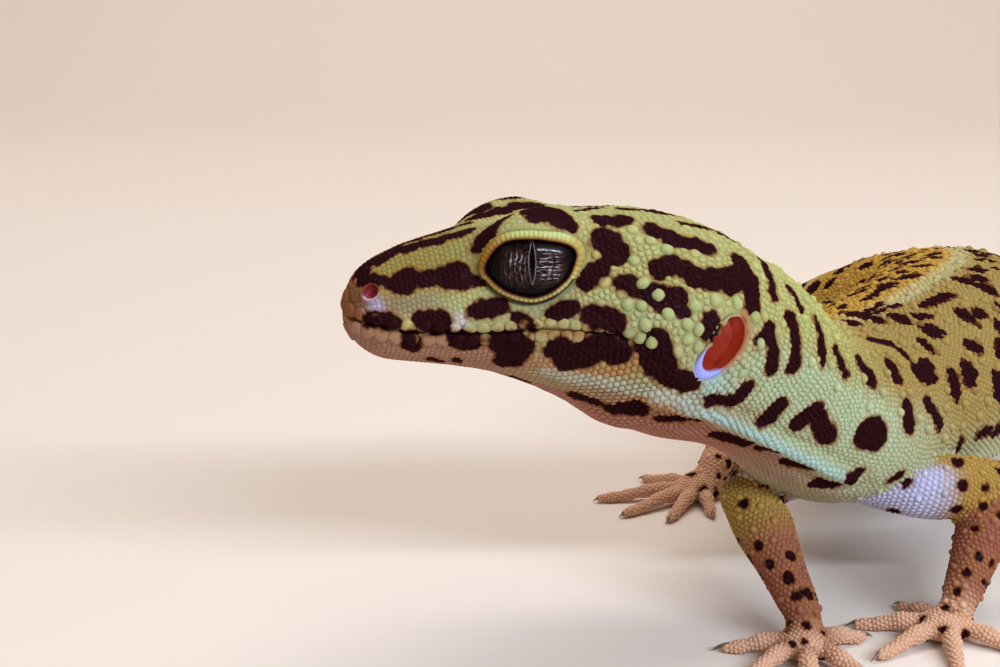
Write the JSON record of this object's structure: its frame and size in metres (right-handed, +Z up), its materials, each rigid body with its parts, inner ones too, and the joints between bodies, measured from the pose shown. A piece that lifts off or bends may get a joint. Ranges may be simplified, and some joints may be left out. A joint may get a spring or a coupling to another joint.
{
  "type": "leopard gecko",
  "caption": "Adult leopard gecko, life size, standing on straightened front legs with its head raised, its body bent in a C and its fat tail laid on the floor.",
  "frame": {"origin": "on the floor, under the middle of the whole animal's bounding box", "axes": "+Z up, +Y along the animal's overall length from the front feet to the tail tip; the snout points towards -X"},
  "size_m": [0.0905, 0.159, 0.0362],
  "materials": {
    "spotted_skin": "granular scales, golden yellow with dark maroon-brown spots, satin",
    "leg_skin": "small scales, orange-pink with brown spots, satin",
    "eye": "wet, dark silvery brown with a slit pupil",
    "eardrum": "thin red membrane, satin"
  },
  "bodies": {
    "root": {"head": "spotted_skin", "lower_jaw": "spotted_skin", "neck": "spotted_skin", "trunk": "spotted_skin", "tail_base": "spotted_skin", "tail_tip": "spotted_skin", "upper_arm_left": "leg_skin", "forearm_left": "leg_skin", "hand_left": "leg_skin", "upper_arm_right": "leg_skin", "forearm_right": "leg_skin", "hand_right": "leg_skin", "thigh_left": "leg_skin", "shank_left": "leg_skin", "foot_left": "leg_skin", "thigh_right": "leg_skin", "shank_right": "leg_skin", "foot_right": "leg_skin", "eye_left": "eye", "eye_right": "eye", "eardrum_left": "eardrum", "eardrum_right": "eardrum"}
  },
  "joints": []
}
